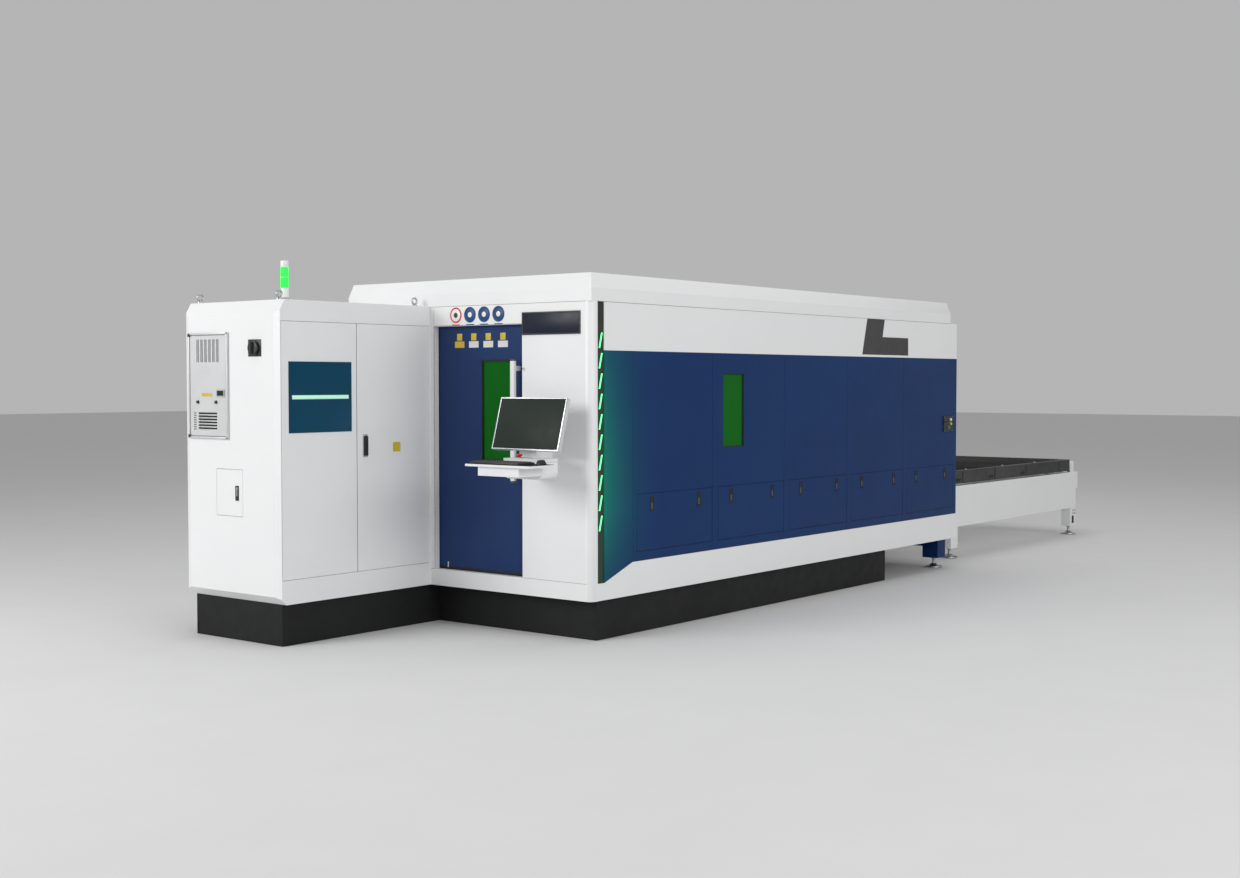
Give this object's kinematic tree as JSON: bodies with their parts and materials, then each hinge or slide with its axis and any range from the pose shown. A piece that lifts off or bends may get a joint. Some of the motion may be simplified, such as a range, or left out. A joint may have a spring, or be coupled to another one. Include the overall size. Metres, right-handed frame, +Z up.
{
  "type": "fiber laser cutting machine",
  "caption": "Enclosed sheet-metal laser cutter with an electrical cabinet, an operator console, a gantry with a cutting head, and a pallet changer.",
  "frame": {"origin": "centre of the machine's floor rectangle, cabinet, enclosure and exchange table together", "axes": "+X along the machine from the electrical cabinet towards the exchange table, +Y from the console side to the cabinet side, +Z up"},
  "size_m": [9.515, 2.235, 2.27],
  "materials": {
    "white_paint": "satin powder coat",
    "blue_paint": "satin powder coat",
    "bed_blue": "satin enamel",
    "plinth_black": "matt powder coat",
    "channel_black": "gloss black",
    "pallet_grey": "matt dark enamel",
    "green_pane": "laser-safe green acrylic",
    "bare_steel": "ground steel",
    "zinc_steel": "zinc plated",
    "galvanised": "galvanised sheet",
    "head_aluminium": "anodised",
    "grey_plastic": "textured",
    "black_plastic": "textured",
    "screen_case": "satin",
    "red_plastic": "gloss",
    "green_plastic": "gloss",
    "amber_plastic": "gloss",
    "white_plastic": "gloss",
    "green_lens": "clear lens"
  },
  "bodies": {
    "machine": {"plinth": "plinth_black", "bed_frame": "bed_blue", "levelling_feet": "zinc_steel", "scrap_tray": "galvanised", "end_wall": "white_paint", "exit_wall": "white_paint", "side_upper_band": "white_paint", "side_blue_panel": "blue_paint", "side_skirt": "white_paint", "light_channel": "channel_black", "rear_wall": "white_paint", "rear_blue_panel": "blue_paint", "hood": "white_paint", "side_window": "green_pane", "station_plate": "black_plastic", "cabinet_shell": "white_paint", "air_conditioner": "grey_plastic", "electrical_panel": "galvanised", "laser_source": "grey_plastic", "lifting_eyes": "zinc_steel", "tower_pole": "white_plastic", "tower_lens": "green_lens", "console_housing": "white_paint", "console_post": "white_paint", "keyboard_tray": "white_paint", "keyboard": "black_plastic", "x_rails": "bare_steel", "pallet_tracks": "bare_steel", "table_beam_near": "white_paint", "table_beam_far": "white_paint", "table_end_beam": "white_paint", "table_legs": "white_paint"},
    "operator_door": {"operator_door": "blue_paint", "door_window": "green_pane", "door_handle": "white_paint"},
    "cabinet_left_door": {"cabinet_door_left": "white_paint"},
    "cabinet_right_door": {"cabinet_door_right": "white_paint"},
    "latch": {"door_latch": "black_plastic"},
    "hatch": {"cabinet_hatch": "white_paint"},
    "isolator": {"isolator_knob": "black_plastic"},
    "screen": {"monitor": "screen_case"},
    "estop": {"estop_button": "red_plastic"},
    "stop_button": {"station_stop_button": "black_plastic"},
    "upper_button": {"station_upper_button": "white_plastic"},
    "lower_button": {"station_lower_button": "amber_plastic"},
    "start_button": {"station_start_button": "green_plastic"},
    "gantry": {"gantry_beam": "head_aluminium"},
    "carriage": {"carriage": "head_aluminium"},
    "head": {"cutting_head": "head_aluminium"},
    "upper_pallet": {"upper_pallet": "pallet_grey"},
    "lower_pallet": {"lower_pallet": "pallet_grey"},
    "access_panel_1": {"access_panel_1": "blue_paint"},
    "access_panel_2": {"access_panel_2": "blue_paint"},
    "access_panel_3": {"access_panel_3": "blue_paint"},
    "access_panel_4": {"access_panel_4": "blue_paint"},
    "access_panel_5": {"access_panel_5": "blue_paint"},
    "upper_inner_wheels": {"upper_inner_wheelset": "bare_steel"},
    "upper_outer_wheels": {"upper_outer_wheelset": "bare_steel"},
    "lower_inner_wheels": {"lower_inner_wheelset": "bare_steel"},
    "lower_outer_wheels": {"lower_outer_wheelset": "bare_steel"}
  },
  "joints": [
    {"name": "operator_door_slide", "type": "slide", "parent": "machine", "child": "operator_door", "axis": [0, 1, 0], "range_m": [0, 0.62]},
    {"name": "access_panel_1_hinge", "type": "hinge", "parent": "machine", "child": "access_panel_1", "pos_m": [-2.639, -1.0945, 0.52], "axis": [1, 0, 0], "range_deg": [0, 90]},
    {"name": "access_panel_2_hinge", "type": "hinge", "parent": "machine", "child": "access_panel_2", "pos_m": [-1.76, -1.0945, 0.52], "axis": [1, 0, 0], "range_deg": [0, 90]},
    {"name": "access_panel_3_hinge", "type": "hinge", "parent": "machine", "child": "access_panel_3", "pos_m": [-0.881, -1.0945, 0.52], "axis": [1, 0, 0], "range_deg": [0, 90]},
    {"name": "access_panel_4_hinge", "type": "hinge", "parent": "machine", "child": "access_panel_4", "pos_m": [-0.002, -1.0945, 0.52], "axis": [1, 0, 0], "range_deg": [0, 90]},
    {"name": "access_panel_5_hinge", "type": "hinge", "parent": "machine", "child": "access_panel_5", "pos_m": [0.877, -1.0945, 0.52], "axis": [1, 0, 0], "range_deg": [0, 90]},
    {"name": "cabinet_left_door_hinge", "type": "hinge", "parent": "machine", "child": "cabinet_left_door", "pos_m": [-4.6875, 0.2385, 1.15], "axis": [0, 0, -1], "range_deg": [0, 110]},
    {"name": "cabinet_right_door_hinge", "type": "hinge", "parent": "machine", "child": "cabinet_right_door", "pos_m": [-3.5075, 0.2385, 1.15], "axis": [0, 0, 1], "range_deg": [0, 80]},
    {"name": "latch_turn", "type": "hinge", "parent": "cabinet_right_door", "child": "latch", "pos_m": [-4.0455, 0.2285, 1.21], "axis": [0, -1, 0], "range_deg": [0, 90]},
    {"name": "hatch_hinge", "type": "hinge", "parent": "machine", "child": "hatch", "pos_m": [-4.7135, 0.8055, 0.891], "axis": [0, 0, -1], "range_deg": [0, 100]},
    {"name": "isolator_turn", "type": "hinge", "parent": "machine", "child": "isolator", "pos_m": [-4.7365, 0.4455, 1.752], "axis": [1, 0, 0], "range_deg": [0, 90]},
    {"name": "screen_tilt", "type": "hinge", "parent": "machine", "child": "screen", "pos_m": [-3.6675, -0.8195, 1.3], "axis": [0, 1, 0], "range_deg": [-15, 15]},
    {"name": "estop_push", "type": "slide", "parent": "machine", "child": "estop", "axis": [0, 0, -1], "range_m": [0, 0.005], "stiffness_N_per_m": 800},
    {"name": "stop_button_push", "type": "slide", "parent": "machine", "child": "stop_button", "axis": [0, 1, 0], "range_m": [0, 0.004], "stiffness_N_per_m": 600},
    {"name": "upper_button_push", "type": "slide", "parent": "machine", "child": "upper_button", "axis": [0, 1, 0], "range_m": [0, 0.004], "stiffness_N_per_m": 600},
    {"name": "lower_button_push", "type": "slide", "parent": "machine", "child": "lower_button", "axis": [0, 1, 0], "range_m": [0, 0.004], "stiffness_N_per_m": 600},
    {"name": "start_button_push", "type": "slide", "parent": "machine", "child": "start_button", "axis": [0, 1, 0], "range_m": [0, 0.004], "stiffness_N_per_m": 600},
    {"name": "gantry_travel", "type": "slide", "parent": "machine", "child": "gantry", "axis": [1, 0, 0], "range_m": [-0.55, 3.04]},
    {"name": "carriage_travel", "type": "slide", "parent": "gantry", "child": "carriage", "axis": [0, 1, 0], "range_m": [-0.75, 0.75]},
    {"name": "head_travel", "type": "slide", "parent": "carriage", "child": "head", "axis": [0, 0, 1], "range_m": [-0.27, 0.1]},
    {"name": "upper_pallet_travel", "type": "slide", "parent": "machine", "child": "upper_pallet", "axis": [-1, 0, 0], "range_m": [0, 3.3]},
    {"name": "lower_pallet_travel", "type": "slide", "parent": "machine", "child": "lower_pallet", "axis": [1, 0, 0], "range_m": [0, 3.3]},
    {"name": "upper_inner_wheels_roll", "type": "hinge", "parent": "upper_pallet", "child": "upper_inner_wheels", "pos_m": [1.8675, -0.0465, 0.6683], "axis": [0, -1, 0], "continuous": true},
    {"name": "upper_outer_wheels_roll", "type": "hinge", "parent": "upper_pallet", "child": "upper_outer_wheels", "pos_m": [4.1575, -0.0465, 0.6683], "axis": [0, -1, 0], "continuous": true},
    {"name": "lower_inner_wheels_roll", "type": "hinge", "parent": "lower_pallet", "child": "lower_inner_wheels", "pos_m": [-1.4325, -0.0465, 0.4383], "axis": [0, 1, 0], "continuous": true},
    {"name": "lower_outer_wheels_roll", "type": "hinge", "parent": "lower_pallet", "child": "lower_outer_wheels", "pos_m": [0.8575, -0.0465, 0.4383], "axis": [0, 1, 0], "continuous": true}
  ],
  "couplings": [
    {"joint": "lower_pallet_travel", "follows": "upper_pallet_travel", "ratio": 1},
    {"joint": "upper_inner_wheels_roll", "follows": "upper_pallet_travel", "rad_per_m": 28.571},
    {"joint": "upper_outer_wheels_roll", "follows": "upper_pallet_travel", "rad_per_m": 28.571},
    {"joint": "lower_inner_wheels_roll", "follows": "upper_pallet_travel", "rad_per_m": 28.571},
    {"joint": "lower_outer_wheels_roll", "follows": "upper_pallet_travel", "rad_per_m": 28.571}
  ]
}
